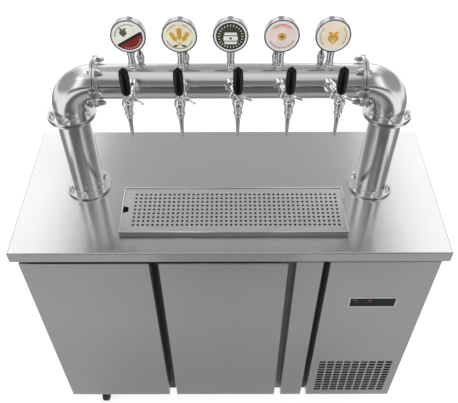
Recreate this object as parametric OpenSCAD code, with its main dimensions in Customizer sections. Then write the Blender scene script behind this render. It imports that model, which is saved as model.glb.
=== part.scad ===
// Draft beer cabinet: a refrigerated bar cabinet on castors with a folded worktop, a flanged pipe tower,
// five compensator taps, lit medallions and a drip tray. Millimetres, +Z up, the front faces -Y.
// The origin lies on the floor under the middle of the worktop.

$fn = 64;

/* [Worktop] */
// Length of the worktop
top_w = 1200; // [1180:10:1500]
// Depth of the worktop, front to back
top_d = 500; // [490:10:620]
// Height of the worktop's upper face above the floor
top_h = 980; // [940:10:1060]
// Height of the worktop's folded edge
top_edge = 36; // [28:1:44]
// Width of the hem under the worktop's edge
top_hem = 8; // [5:1:10]
// Thickness of the worktop's and the drip tray's sheet steel
sheet_t = 1.5; // [1:0.1:2]
// Outside radius of the fold along the worktop's rim
top_fold = 3; // [2.2:0.2:4]

/* [Cabinet] */
// Overhang of the worktop past the cabinet at each end
end_overhang = 15; // [12:1:24]
// Overhang of the worktop past the door fronts
front_overhang = 10; // [4:1:20]
// Overhang of the worktop past the back of the case
rear_overhang = 12; // [11:1:20]
// Height of the case's underside above the floor
base_h = 85; // [82:1:90]
// Thickness of the sheet steel of the case, doors and panels
skin_t = 1.2; // [0.8:0.1:1.6]
// Outside radius of the folds on doors and panels
skin_fold = 2.5; // [2:0.1:4]
// Foam thickness at the left end, the back and the floor of the cold chamber
foam_t = 50; // [40:1:60]
// Thickness of the foamed wall between the cold chamber and the machine bay
partition_t = 60; // [45:1:70]
// Thickness of the front frame
frame_t = 10; // [6:1:16]

/* [Doors and panels] */
// Thickness of a door without its gasket
door_t = 38; // [34:1:46]
// Height of the lower edge of doors and panels above the floor
door_bottom = 118; // [114:1:130]
// Gap between the worktop's edge and the doors
door_top_gap = 24; // [18:1:34]
// Finger gap between the two doors
door_gap = 26; // [20:1:34]
// Gap between the right door and the pilaster
pilaster_gap = 22; // [16:1:30]
// Width of the pilaster
pilaster_w = 75; // [60:1:90]
// Gap between the pilaster and the service panel
panel_gap = 19; // [6:1:26]
// Width of the service panel
panel_w = 306; // [296:1:330]
// How much higher the panels reach than the doors
panel_rise = 7; // [0:1:10]
// Compressed thickness of the door gasket
gasket_t = 5; // [4:0.5:7]
// Width of the door gasket
gasket_w = 12; // [9:1:14]
// Spare width of the frame inside the gasket
lap_spare = 2; // [1:0.5:5]
// Distance of the hinge pin from the door's end
hinge_in = 10; // [8:0.5:12]
// Distance of the hinge pin from the door's front
hinge_back = 18; // [15:1:20]
// Diameter of the hinge pins
pin_d = 8; // [6:0.5:10]
// Depth to which a hinge pin enters the door
pin_depth = 14; // [10:1:20]

/* [Service panel] */
// Columns of vent slots
slot_cols = 9; // [5:1:9]
// Rows of vent slots
slot_rows = 12; // [6:1:16]
// Width of a vent slot
slot_w = 22.4; // [16:0.2:23]
// Height of a vent slot
slot_h = 12.5; // [8:0.5:14]
// Width of the ribs between columns of slots
slot_rib = 6; // [4:0.5:7]
// Height of the bars between rows of slots
slot_bar = 5.75; // [3:0.25:7]
// Height of the lowest vent slot above the panel's lower edge
slot_low = 38; // [30:1:60]
// Width of the controller's bezel
ctrl_w = 141; // [120:1:160]
// Height of the controller's bezel
ctrl_h = 48; // [36:1:60]
// Distance of the controller's centre below the panel's upper edge
ctrl_drop = 195; // [120:1:260]
// Sideways shift of the controller from the panel's middle
ctrl_shift = -6; // [-20:1:20]
// Depth of the controller behind the panel
ctrl_depth = 30; // [20:1:40]

/* [Drip tray] */
// Length of the drip tray over its rim
tray_w = 632; // [620:1:700]
// Depth of the drip tray over its rim
tray_d = 170; // [160:1:185]
// Height of the drip tray
tray_h = 14; // [12:0.5:20]
// Sideways shift of the drip tray from the worktop's middle
tray_shift = 11; // [-20:1:20]
// Distance of the drip tray from the worktop's front edge
tray_front = 63; // [50:1:70]
// Width of the drip tray's hemmed rim
tray_rim = 3; // [2.4:0.1:4]
// Clearance round the drip grid
grid_gap = 1; // [0.6:0.1:1.5]
// Diameter of the drip holes
hole_d = 7; // [4:0.5:9]
// Columns of drip holes
hole_cols = 43; // [20:1:43]
// Rows of drip holes
hole_rows = 9; // [5:1:9]
// Spacing of the drip holes along the tray
hole_step_x = 13.6; // [11:0.1:13.8]
// Spacing of the drip holes across the tray
hole_step_y = 14.4; // [11:0.1:15.5]
// Shift of the field of holes away from the finger notch
hole_shift = 7; // [0:1:10]
// Width of the finger notch in the drip grid
notch_w = 27; // [20:1:34]
// Length of the finger notch in the drip grid
notch_l = 15; // [10:1:18]

/* [Tower] */
// Outside diameter of the tower pipe
pipe_od = 88.9; // [84:0.1:90]
// Wall thickness of the tower pipe
pipe_t = 2; // [1.5:0.1:3]
// Distance of each pillar from the middle of the worktop
tower_half = 416; // [405:1:440]
// Distance of the tower's plane behind the middle of the worktop
tower_y = 10; // [0:1:30]
// Height of the bridge's axis above the worktop
bridge_rise = 372; // [350:1:420]
// Centreline radius of the elbows
elbow_r = 76.2; // [70:0.1:90]
// Straight length of pipe between an elbow's bend and its lower flange
elbow_stub = 14; // [6:1:30]
// Diameter of the flanges
flange_od = 130; // [126:1:140]
// Thickness of a flange
flange_t = 6; // [5:0.5:9]
// Thickness of the seals between flanges
seal_t = 1.5; // [1:0.1:3]
// Diameter of the circle of flange bolts
bolt_pcd = 108; // [107:0.5:110]
// Diameter of the flange bolts
bolt_d = 8; // [6:0.5:8]

/* [Taps] */
// Spacing of the taps and of the medallions above them
tap_pitch = 121; // [115:1:126]
// Sideways shift of the row of taps from the worktop's middle
tap_shift = 4; // [-12:1:12]
// Distance of the tap bodies from the bridge's surface
tap_reach = 66; // [64:1:80]
// Height of the tap shanks above the bridge's axis
shank_rise = 16; // [10:1:18]
// Diameter of the tap shanks
shank_d = 20; // [16:0.5:21]
// Radius of the tap body
tap_r = 11.5; // [11.2:0.1:13]
// Radius of the bonnet over the lever's ball
bonnet_r = 12; // [11.5:0.1:13]
// Radius of the lever's ball
ball_r = 7; // [6.5:0.1:7.2]
// Diameter of the lever's stem
stem_d = 7; // [5:0.2:7]
// Length of the nozzle
nozzle_len = 61; // [40:1:75]
// Radius of the nozzle where it leaves the tap body
nozzle_top_r = 5.3; // [4.5:0.1:6]
// Radius of the nozzle's tip
nozzle_tip_r = 3.3; // [2.8:0.1:4]
// Length of the lever grip
grip_len = 80; // [60:1:100]
// Largest diameter of the lever grip
grip_d = 20; // [16:0.5:24]
// Length of the compensator's arm
comp_arm = 19; // [14:0.5:24]
// Diameter of the beer lines
line_d = 8; // [6:0.5:8]

/* [Medallions] */
// Diameter of a medallion
medal_d = 85; // [75:1:95]
// Thickness of a medallion
medal_t = 22; // [18:1:24]
// Distance of the medallions' middle plane behind their posts
medal_back = 3; // [0:0.5:4]
// Height of the medallions' centres above the bridge's axis
medal_rise = 131; // [122:1:150]
// Angle by which the medallions lean back
medal_tilt = 4; // [0:1:8]
// Width of the rim round a medallion's face
medal_rim = 3.5; // [2.5:0.1:6]
// Spacing of the cable glands behind the posts
gland_pitch = 112; // [108:1:126]
// Diameter of the lamp leads
lead_d = 5; // [3:0.5:6]

/* [Castors] */
// Diameter of the wheels
wheel_d = 60; // [54:1:60]
// Width of the wheels' treads
wheel_w = 24; // [18:1:26]
// Distance of the wheel's axle from the swivel axis
castor_trail = 25; // [18:1:28]
// Distance of the castors from the ends of the case
castor_in = 105; // [70:1:140]
// Front-to-back distance between castors
castor_span = 330; // [300:1:340]

/* [Cooling unit] */
// Diameter of the compressor's shell
shell_d = 140; // [120:1:150]
// Height of the compressor's shell without its dome
shell_h = 120; // [100:1:140]
// Width of the condenser
cond_w = 240; // [220:1:260]
// Height of the condenser
cond_h = 200; // [190:1:240]
// Depth of the condenser
cond_t = 50; // [40:1:60]
// Diameter of the condenser fan
fan_d = 170; // [140:1:178]
// Width of the evaporator, out from the chamber wall
evap_w = 80; // [60:1:100]
// Depth of the evaporator, front to back
evap_d = 200; // [160:1:240]
// Height of the evaporator
evap_h = 210; // [160:1:260]

/* [Hidden] */
TAPS = [1:5];
CASTORS = [1:4];

// Overshoot of a cut past the face that it leaves
cut = 1;
// Clearance of parts that turn in or on each other
run_fit = 0.05;
// Gap between faces of parts that turn beside each other
run_gap = 0.2;
// Gap between a saddle and the round piece that it sits on
saddle_gap = 0.1;
// Clearance of bolts, shanks and other pieces in their holes
hole_fit = 0.5;

// Case and front
case_x = top_w / 2 - end_overhang;
front_y = -top_d / 2 + front_overhang;
frame_y = front_y + door_t + gasket_t;
case_y0 = frame_y + frame_t;
case_y1 = top_d / 2 - rear_overhang;
case_z1 = top_h - sheet_t;
door_top = top_h - top_edge - door_top_gap;
door_h = door_top - door_bottom;
panel_h = door_h + panel_rise;
door_w = (2 * case_x - door_gap - pilaster_gap - pilaster_w - panel_gap - panel_w) / 2;
left_door_x = -case_x;
right_door_x = left_door_x + door_w + door_gap;
pilaster_x = right_door_x + door_w + pilaster_gap;
panel_x = pilaster_x + pilaster_w + panel_gap;
panel_mid = panel_x + panel_w / 2;

// Cold chamber and machine bay
door_lap = hinge_in + gasket_w + lap_spare;
chamber_x0 = -case_x + foam_t;
chamber_x1 = right_door_x + door_w - door_lap;
chamber_y1 = case_y1 - skin_t - foam_t;
chamber_z0 = max(door_bottom + door_lap, base_h + skin_t + foam_t);
chamber_z1 = door_top - door_lap;
mullion_x0 = left_door_x + door_w - door_lap;
mullion_x1 = right_door_x + door_lap;
bay_x0 = chamber_x1 + partition_t;
bay_floor = base_h + skin_t;
bay_margin = 16;
vent_rows = 9;
vent_cols = 3;
vent_w = 70;
vent_h = 8;
vent_step_x = 90;
vent_step_z = 20;
vent_low = 150;

// Doors and hinges
pin_y = front_y + hinge_back;
left_pin_x = left_door_x + hinge_in;
right_pin_x = right_door_x + door_w - hinge_in;
bracket_t = 4;
bracket_gap = 3;
bracket_h = 16;
bracket_nose = 5;
liner_raise = 2.5;
liner_edge = door_lap + 4;
core_relief = 0.3;

// Controller
bezel_t = 2;
bezel_lap = 4;
window_edge = 3;
window_depth = 0.6;

// Drip tray
tray_x0 = tray_shift - tray_w / 2;
tray_y0 = -top_d / 2 + tray_front;
tray_wall = tray_rim - sheet_t;
rim_h = 4;
grid_drop = 1;
grid_inset = tray_rim + grid_gap;
grid_z = top_h + tray_h - grid_drop;

// Tower
pipe_r = pipe_od / 2;
bore_r = pipe_r - pipe_t;
bridge_z = top_h + bridge_rise;
bridge_half = tower_half - elbow_r - flange_t - seal_t;
joint_z = bridge_z - elbow_r - elbow_stub - flange_t - seal_t / 2;
pillar_z0 = top_h + seal_t;
pillar_z1 = joint_z - seal_t / 2;
bolt_count = 6;
nut_af = 1.625 * bolt_d;
nut_h = 0.8 * bolt_d;
dome_r = 0.72 * bolt_d;
head_h = 0.66 * bolt_d;
seal_w = 4;
port_d = 70;

// Taps
tap_z = bridge_z + shank_rise;
shank_root_y = tower_y - sqrt(pow(pipe_r, 2) - pow(shank_rise, 2));
// Angle by which each tap is turned about its hole in the bridge
tap_swing = [-3, 0, 15, 16, 15];
ball_z = 6;
ball_fit = 0.3;
bonnet_top = ball_z + 5;
bonnet_h = 7;
bonnet_edge = 1;
tap_ring_r = 9.6;
tap_ring_z = -28;
tap_ring_h = 6;
tap_ring_edge = 2;
tap_taper = 8;
tap_end_z = -45;
tap_collar = 1.2;
barrel_r = 9.5;
barrel_len = 23;
nut_r = 14;
nut_len = 14;
escutcheon_r = 15;
escutcheon_t = 6;
shank_inside = 8;
shank_bore = line_d / 2 + hole_fit;
boss_r = 7;
boss_x = 15;
boss_y = 14;
comp_stem_r = 4;
comp_stem_l = 8;
comp_hub_r = 6;
comp_hub_w = 6;
comp_arm_r = 2.8;
comp_knob_r = 3.6;
comp_droop = 20;
comp_forward = 30;
grip_z = 22;
grip_socket = 12;
grip_foot = 0.7;
grip_turn = 125;
grip_steps = 14;
grip_dome = 6;
grip_edge = 1.5;
nub_r = 3.6;
nub_h = 2;
nub_edge = 1;
ferrule_r = 5;
ferrule_h = 3.5;
nozzle_wall = 1.2;
line_bend = 10;
line_lead = 2;
line_step = (tower_y - shank_root_y - shank_inside - line_bend - line_lead) / 2;
line_end = chamber_z1;

// Medallions
medal_z = bridge_z + medal_rise;
medal_recess = 2.5;
face_t = 1.6;
face_gap = 0.2;
post_foot_r = 11;
post_r = 7;
post_head_r = 8.6;
post_sink = 6;
post_foot_h = 3;
post_foot_edge = 2;
post_neck = 3;
housing_back = 3;
housing_edge = 1;
gland_back = 26;
gland_r = 8;
gland_h = 30;
gland_nut_r = 9.2;
gland_nut_h = 9;
gland_cap_h = 6;
// Height of the cable gland's top above the bridge's axis
gland_top = sqrt(pow(pipe_r, 2) - pow(gland_back, 2)) + gland_h;
lead_drop = 22;
lead_bend = 12;

// Castors
castor_x = case_x - castor_in;
plate_l = 84;
plate_w = 64;
plate_t = 3;
race_r = 20;
race_h = 6;
king_r = 5;
king_head_r = 9;
king_head_h = 3;
fork_top_h = 6;
fork_r = 21;
fork_leg_t = 3;
fork_leg_gap = 2;
axle_r = 4;
axle_boss_r = 9;
axle_head_r = 7;
axle_head_h = 3;
fork_top_half = 12;
hub_r = 12;
hub_proud = 1.5;
tread_round = 5;
tread_depth = 9;
// Heights in a castor, from the case down
race_z = base_h - plate_t - race_h;
fork_z = race_z - run_gap - fork_top_h;
king_head_z = fork_z - run_gap - king_head_h;
axle_z = wheel_d / 2;
leg_x = wheel_w / 2 + fork_leg_gap;

// Cooling unit
cond_gap = 40;
cond_fins = 24;
fin_t = 0.8;
fin_inset = 1;
fin_lift = 4;
cond_rows = 6;
tube_r = 4.75;
end_plate_t = 2;
fan_gap = 12;
// Middle of the condenser and of the fan behind it
cond_x = panel_mid;
cond_y = case_y0 + cond_gap;
cond_z = bay_floor + cond_h / 2;
fan_y = cond_y + cond_t + fan_gap;
fan_blades = 5;
blade_t = 2;
blade_w = 44;
blade_pitch = 28;
fan_hub_r = 20;
fan_hub_h = 22;
motor_r = 32;
motor_h = 48;
shaft_r = 3;
arm_w = 14;
arm_t = 4;
foot_r = 12;
foot_h = 18;
foot_plate_t = 4;
shell_dome = 32;
shell_back = 105;
terminal_w = 50;
terminal_t = 26;
terminal_z = 42;
evap_drop = 12;
evap_fins = 18;
evap_cover_t = 1.2;

// Places that repeat
function tap_x(k) = tap_shift + (k - 3) * tap_pitch;
function gland_x(k) = tap_shift + (k - 3) * gland_pitch;
function line_y(k) = tower_y + (k - 3) * line_step;
function line_end_x(k) = tap_x(k) - shank_inside * sin(tap_swing[k - 1]);
function line_end_y(k) = shank_root_y + shank_inside * cos(tap_swing[k - 1])
    + line_d / 2 * tan(abs(tap_swing[k - 1])) + saddle_gap;
function castor_pos(k) = [(k % 2 == 1 ? -1 : 1) * castor_x, (k <= 2 ? -1 : 1) * castor_span / 2, 0];
function castor_turn(k) = k == 1 ? 180 : 0;

// A box between two corners
module box(low, high) {
    translate(low) cube(high - low);
}

// Outline of a sheet-metal front with its two front corners rounded
module front_outline(w, d, r) {
    translate([0, r]) square([w, d - r]);
    translate([r, 0]) square([w - 2 * r, d]);
    for (x = [r, w - r]) translate([x, r]) circle(r);
}

// A block whose edges round the front face are rounded
module blank(size, r) {
    intersection() {
        linear_extrude(size.z) front_outline(size.x, size.y, r);
        translate([size.x, 0, 0]) rotate([0, -90, 0]) linear_extrude(size.x) front_outline(size.z, size.y, r);
    }
}

// The inner radius of a fold
function inner_fold(r, t) = max(r - t, t / 4);

// A folded sheet-metal pan, open at the back
module pan(size, t, r) {
    difference() {
        blank(size, r);
        translate([t, t, t]) blank([size.x - 2 * t, size.y, size.z - 2 * t], inner_fold(r, t));
    }
}

// The way of the beer lines from the cold chamber into the left pillar
module line_port(z0, z1) {
    translate([-tower_half, tower_y, z0]) cylinder(d = port_d, h = z1 - z0);
}

module cabinet_case() color("silver") difference() {
    box([-case_x, case_y0, base_h], [case_x, case_y1, case_z1]);
    box([-case_x + skin_t, case_y0 - cut, bay_floor], [case_x - skin_t, case_y1 - skin_t, case_z1 - skin_t]);
    line_port(case_z1 - skin_t - cut, case_z1 + cut);
    rear_vents();
}

// Air slots in the back of the machine bay
module rear_vents() {
    bay_mid = (bay_x0 + case_x) / 2;
    for (c = [0:vent_cols - 1], r = [0:vent_rows - 1])
        translate([bay_mid + (c - (vent_cols - 1) / 2) * vent_step_x, case_y1,
                   base_h + vent_low + r * vent_step_z])
            cube([vent_w, 4 * skin_t, vent_h], center = true);
}

module chamber_liner() color("gainsboro") difference() {
    box([-case_x + skin_t, case_y0, bay_floor], [bay_x0, case_y1 - skin_t, case_z1 - skin_t]);
    box([chamber_x0, case_y0 - cut, chamber_z0], [chamber_x1, chamber_y1, chamber_z1]);
    line_port(chamber_z1 - cut, case_z1);
}

module front_frame() color("gray") difference() {
    box([-case_x, frame_y, base_h], [case_x, case_y0, case_z1]);
    frame_opening(chamber_x0, mullion_x0, chamber_z0, chamber_z1);
    frame_opening(mullion_x1, chamber_x1, chamber_z0, chamber_z1);
    frame_opening(panel_x + bay_margin, case_x - bay_margin, door_bottom + bay_margin, door_top - bay_margin);
}

module frame_opening(x0, x1, z0, z1) {
    box([x0, frame_y - cut, z0], [x1, case_y0 + cut, z1]);
}

module worktop() color("lightgray") translate([-top_w / 2, -top_d / 2, top_h]) difference() {
    inside = 2 * sheet_t;
    rotate([-90, 0, 0]) blank([top_w, top_edge, top_d], top_fold);
    translate([sheet_t, sheet_t, -sheet_t]) rotate([-90, 0, 0])
        blank([top_w - inside, top_edge - inside, top_d - inside], inner_fold(top_fold, sheet_t));
    box([top_hem, top_hem, -top_edge - cut], [top_w - top_hem, top_d - top_hem, -top_edge + inside]);
    translate([top_w / 2, top_d / 2, -top_h]) line_port(top_h - sheet_t - cut, top_h + cut);
}

module pilaster() color("darkgray")
    translate([pilaster_x, front_y, door_bottom])
        pan([pilaster_w, door_t + gasket_t, panel_h], skin_t, skin_fold);

module service_panel() color("darkgray") difference() {
    translate([panel_x, front_y, door_bottom]) pan([panel_w, door_t + gasket_t, panel_h], skin_t, skin_fold);
    vent_slots();
    controller_place() cube([ctrl_w - 2 * bezel_lap, 4 * skin_t, ctrl_h - 2 * bezel_lap], center = true);
}

// The punched field of vent slots
module vent_slots() {
    step_x = slot_w + slot_rib;
    step_z = slot_h + slot_bar;
    for (c = [0:slot_cols - 1], r = [0:slot_rows - 1])
        translate([panel_mid + (c - (slot_cols - 1) / 2) * step_x - slot_w / 2, front_y - cut,
                   door_bottom + slot_low + r * step_z])
            cube([slot_w, 2 * cut + skin_t, slot_h]);
}

module controller_place() {
    translate([panel_mid + ctrl_shift, front_y, door_bottom + panel_h - ctrl_drop]) children();
}

module controller() color("black") controller_place() difference() {
    union() {
        controller_block(0, -bezel_t, 0);
        controller_block(bezel_lap + hole_fit, -bezel_t, ctrl_depth);
    }
    controller_block(window_edge, -bezel_t - cut, -bezel_t + window_depth);
}

// A block of the controller's outline, drawn in by an edge and reaching from y0 to y1
module controller_block(edge, y0, y1) {
    box([-ctrl_w / 2 + edge, y0, -ctrl_h / 2 + edge], [ctrl_w / 2 - edge, y1, ctrl_h / 2 - edge]);
}

// Holes for the hinge pins at both ends of a door
module pin_holes(pin_x) {
    for (z = [door_bottom - cut, door_top - pin_depth])
        translate([pin_x, pin_y, z]) cylinder(r = pin_d / 2 + run_fit, h = pin_depth + cut);
}

module door_skin(x0, pin_x) color("darkgray") difference() {
    translate([x0, front_y, door_bottom]) pan([door_w, door_t, door_h], skin_t, skin_fold);
    pin_holes(pin_x);
}

// Foam core with its inner sheet, raised inside the gasket
module door_liner(x0, pin_x) color("whitesmoke") difference() {
    union() {
        translate([x0 + skin_t, front_y + skin_t, door_bottom + skin_t])
            blank([door_w - 2 * skin_t, door_t - skin_t, door_h - 2 * skin_t],
                  inner_fold(skin_fold, skin_t) + core_relief);
        box([x0 + liner_edge, front_y + door_t - cut, door_bottom + liner_edge],
            [x0 + door_w - liner_edge, front_y + door_t + liner_raise, door_top - liner_edge]);
    }
    pin_holes(pin_x);
}

module door_gasket(x0) color("dimgray") difference() {
    box([x0 + hinge_in, front_y + door_t, door_bottom + hinge_in],
        [x0 + door_w - hinge_in, frame_y, door_top - hinge_in]);
    box([x0 + hinge_in + gasket_w, front_y + door_t - cut, door_bottom + hinge_in + gasket_w],
        [x0 + door_w - hinge_in - gasket_w, frame_y + cut, door_top - hinge_in - gasket_w]);
}

module hinge_brackets() color("silver") for (x = [left_pin_x, right_pin_x]) {
    translate([x, pin_y, door_bottom]) hinge_bracket();
    translate([x, pin_y, door_top]) mirror([0, 0, 1]) hinge_bracket();
}

// One bracket on the front frame, with its pin pointing up into the door
module hinge_bracket() {
    back = frame_y - pin_y;
    pin_h = bracket_t + bracket_gap + pin_depth - cut;
    box([-hinge_in, -pin_d / 2 - bracket_nose, -bracket_gap - bracket_t], [hinge_in, back, -bracket_gap]);
    box([-hinge_in, back - bracket_t, -bracket_gap - bracket_h], [hinge_in, back, -bracket_gap]);
    translate([0, 0, -bracket_gap - bracket_t]) cylinder(d = pin_d, h = pin_h);
}

module drip_tray() color("silver") translate([tray_x0, tray_y0, top_h]) difference() {
    union() {
        box([tray_wall, tray_wall, 0], [tray_w - tray_wall, tray_d - tray_wall, tray_h]);
        box([0, 0, tray_h - rim_h], [tray_w, tray_d, tray_h]);
    }
    box([tray_rim, tray_rim, sheet_t], [tray_w - tray_rim, tray_d - tray_rim, tray_h + cut]);
}

module drip_grid() color("lightgray") translate([tray_x0, tray_y0, 0]) {
    translate([0, 0, grid_z - sheet_t]) linear_extrude(sheet_t) grid_outline();
    translate([0, 0, top_h + sheet_t]) linear_extrude(grid_z - top_h - 2 * sheet_t) grid_skirt();
}

// Plan of the grid's perforated top, with the finger notch at its left end
module grid_outline() {
    field_x = tray_w / 2 + hole_shift;
    difference() {
        translate([grid_inset, grid_inset]) square([tray_w - 2 * grid_inset, tray_d - 2 * grid_inset]);
        grid_notch();
        for (c = [0:hole_cols - 1], r = [0:hole_rows - 1])
            translate([field_x + (c - (hole_cols - 1) / 2) * hole_step_x,
                       tray_d / 2 + (r - (hole_rows - 1) / 2) * hole_step_y])
                circle(d = hole_d, $fn = 24);
    }
}

module grid_notch() {
    taper = notch_w / 5;
    translate([grid_inset, tray_d / 2])
        polygon([[-cut, -notch_w / 2], [notch_l, -notch_w / 2 + taper], [notch_l, notch_w / 2 - taper],
                 [-cut, notch_w / 2]]);
}

// Plan of the folded edge on which the grid stands
module grid_skirt() {
    inner = grid_inset + sheet_t;
    difference() {
        translate([grid_inset, grid_inset]) square([tray_w - 2 * grid_inset, tray_d - 2 * grid_inset]);
        translate([inner, inner]) square([tray_w - 2 * inner, tray_d - 2 * inner]);
        translate([0, tray_d / 2 - notch_w / 2]) square([tray_w / 4, notch_w]);
    }
}

// Turn a ring of bolts so that one of them points to the front
module on_bolts() {
    for (i = [0:bolt_count - 1]) rotate(i * 360 / bolt_count - 90) translate([bolt_pcd / 2, 0]) children();
}

// A flange on the XY plane, drilled for its bolts
module flange() {
    difference() {
        cylinder(d = flange_od, h = flange_t);
        translate([0, 0, -cut]) on_bolts()
            cylinder(d = bolt_d + 2 * hole_fit, h = flange_t + 2 * cut, $fn = 32);
    }
}

module pillar(side) color("silver") translate([side * tower_half, tower_y, 0]) difference() {
    union() {
        translate([0, 0, pillar_z0]) cylinder(r = pipe_r, h = pillar_z1 - pillar_z0);
        translate([0, 0, pillar_z0]) flange();
        translate([0, 0, pillar_z1 - flange_t]) flange();
    }
    translate([0, 0, pillar_z0 - cut]) cylinder(r = bore_r, h = pillar_z1 - pillar_z0 + 2 * cut);
}

// A round bar in the XY plane that runs along +Y, a quarter turn round the origin and then along -X
module bent_bar(r, bend, before, after) {
    rotate_extrude(angle = 90) translate([bend, 0]) circle(r);
    if (before > 0) translate([bend, 0, 0]) rotate([90, 0, 0]) cylinder(r = r, h = before);
    if (after > 0) translate([0, bend, 0]) rotate([0, -90, 0]) cylinder(r = r, h = after);
}

// Stand a bent bar up, so that it rises at the left and leaves to the right
module upright() {
    rotate([90, 0, 180]) children();
}

module elbow_run(r, extra) {
    upright() bent_bar(r, elbow_r, elbow_stub + flange_t + extra, flange_t + extra);
}

module elbow() color("silver") translate([-tower_half + elbow_r, tower_y, bridge_z - elbow_r]) difference() {
    union() {
        elbow_run(pipe_r, 0);
        translate([-elbow_r, 0, -elbow_stub - flange_t]) flange();
        translate([0, 0, elbow_r]) rotate([0, 90, 0]) flange();
    }
    elbow_run(bore_r, cut);
}

// Lay a pipe that was drawn along Z on the bridge's axis
module on_bridge() {
    translate([0, tower_y, bridge_z]) rotate([0, 90, 0]) children();
}

module bridge() color("silver") difference() {
    on_bridge() union() {
        translate([0, 0, -bridge_half]) cylinder(r = pipe_r, h = 2 * bridge_half);
        translate([0, 0, -bridge_half]) flange();
        translate([0, 0, bridge_half - flange_t]) flange();
    }
    on_bridge() translate([0, 0, -bridge_half - cut]) cylinder(r = bore_r, h = 2 * (bridge_half + cut));
    at_taps() along_y(0, shank_d / 2 + hole_fit, tap_reach + shank_inside);
}

// Bring a piece drawn on the XY plane to every flange joint, with +Z away from the pillar's foot
module at_joints() {
    for (side = [-1, 1]) {
        translate([side * tower_half, tower_y, joint_z]) children();
        translate([side * (bridge_half + seal_t / 2), tower_y, bridge_z]) rotate([0, -side * 90, 0])
            children();
    }
}

module flange_seals() color("dimgray") {
    at_joints() translate([0, 0, -seal_t / 2]) seal();
    for (side = [-1, 1]) translate([side * tower_half, tower_y, top_h]) seal();
}

module seal() {
    difference() {
        cylinder(r = bore_r + seal_w, h = seal_t);
        translate([0, 0, -cut]) cylinder(r = bore_r, h = seal_t + 2 * cut);
    }
}

module flange_bolts() color("gainsboro") {
    at_joints() on_bolts() {
        translate([0, 0, flange_t + seal_t / 2]) acorn_nut();
        translate([0, 0, -flange_t - seal_t / 2]) cylinder(d = bolt_d, h = 2 * flange_t + seal_t, $fn = 32);
        translate([0, 0, -flange_t - seal_t / 2 - head_h]) hexagon(head_h);
    }
    for (side = [-1, 1]) translate([side * tower_half, tower_y, top_h]) on_bolts() {
        cylinder(d = bolt_d, h = flange_t + seal_t, $fn = 32);
        translate([0, 0, flange_t + seal_t]) acorn_nut();
    }
}

module hexagon(h) {
    cylinder(r = nut_af / sqrt(3), h = h, $fn = 6);
}

module acorn_nut() {
    hexagon(nut_h);
    cylinder(r = dome_r, h = nut_h + dome_r / 2, $fn = 32);
    translate([0, 0, nut_h + dome_r / 2]) sphere(dome_r, $fn = 32);
}

// One hose per tap: up the left pillar, round the elbow, along the bridge and forward to the shank
module beer_lines() color("khaki") for (k = TAPS) {
    bend_z = bridge_z - elbow_r;
    bend_x = -tower_half + elbow_r;
    run = line_end_x(k) - line_bend - bend_x;
    translate([bend_x, line_y(k), bend_z]) upright()
        bent_bar(line_d / 2, elbow_r + shank_rise, bend_z - line_end, 0, $fn = 32);
    translate([bend_x, line_y(k), tap_z]) translate([run, -line_bend, 0])
        bent_bar(line_d / 2, line_bend, line_y(k) - line_bend - line_end_y(k), run, $fn = 32);
}

// Stand a piece on the crossing of a tap's body axis and its shank axis
module at_tap(k) {
    translate([tap_x(k), shank_root_y, tap_z]) rotate(tap_swing[k - 1])
        translate([0, -tap_reach, 0]) children();
}

module at_taps() {
    for (k = TAPS) at_tap(k) children();
}

// A round piece along +Y that starts at distance y from the tap's body axis
module along_y(y, r, len) {
    translate([0, y, 0]) rotate([-90, 0, 0]) cylinder(r = r, h = len);
}

module tap_shanks() color("gainsboro") difference() {
    nut_end = barrel_len + nut_len;
    tail = tap_reach + shank_inside;
    union() {
        at_taps() translate([0, barrel_len, 0]) rotate([-90, 0, 0]) rotate_extrude() coupling_outline();
        at_taps() along_y(nut_end, shank_d / 2, tail - nut_end);
        difference() {
            at_taps() along_y(tap_reach - escutcheon_t, escutcheon_r, pipe_r / 2);
            on_bridge() cylinder(r = pipe_r + saddle_gap, h = top_w, center = true);
        }
    }
    at_taps() along_y(barrel_len - cut, shank_bore, tail - barrel_len + 2 * cut);
}

// Half section of the ribbed coupling nut
module coupling_outline() {
    edge = nut_r / 7;
    waist = nut_r - edge;
    third = nut_len / 3;
    polygon([[0, 0], [nut_r - edge, 0], [nut_r, edge], [nut_r, third], [waist, third + edge / 2],
             [waist, 2 * third - edge / 2], [nut_r, 2 * third], [nut_r, nut_len - edge],
             [nut_r - edge, nut_len], [0, nut_len]]);
}

module tap_bodies() color("gainsboro") at_taps() difference() {
    union() {
        rotate_extrude() tap_outline();
        along_y(0, barrel_r, barrel_len);
        translate([0, boss_y, 0]) rotate([0, 90, 0]) cylinder(r = boss_r, h = boss_x);
    }
    translate([0, 0, ball_z]) sphere(ball_r + ball_fit);
    translate([0, 0, ball_z - ball_r - ball_fit]) cylinder(r = ball_r + ball_fit, h = ball_r + ball_fit);
    lever_slot = stem_d / 2 + ball_fit;
    box([-lever_slot, -bonnet_r - cut, ball_z], [lever_slot, 0, bonnet_top + cut]);
    translate([boss_x - comp_stem_l - run_gap, boss_y, 0]) rotate([0, 90, 0])
        cylinder(r = comp_stem_r + run_fit, h = 2 * comp_stem_l);
}

// Half section of the tap's body, from the collar over the nozzle up to the bonnet
module tap_outline() {
    ring_low = tap_ring_z - tap_ring_h;
    ring_high = tap_ring_z + tap_ring_edge;
    bonnet_low = bonnet_top - bonnet_h;
    waist_r = tap_ring_r - 0.7 * tap_ring_edge;
    polygon([[0, tap_end_z], [nozzle_top_r + tap_collar, tap_end_z], [waist_r, ring_low - tap_ring_edge],
             [tap_ring_r, ring_low], [tap_ring_r, tap_ring_z], [waist_r, ring_high],
             [tap_r, ring_high + tap_taper], [tap_r, bonnet_low - bonnet_edge], [bonnet_r, bonnet_low],
             [bonnet_r, bonnet_top - bonnet_edge], [bonnet_r - bonnet_edge, bonnet_top], [0, bonnet_top]]);
}

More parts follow.
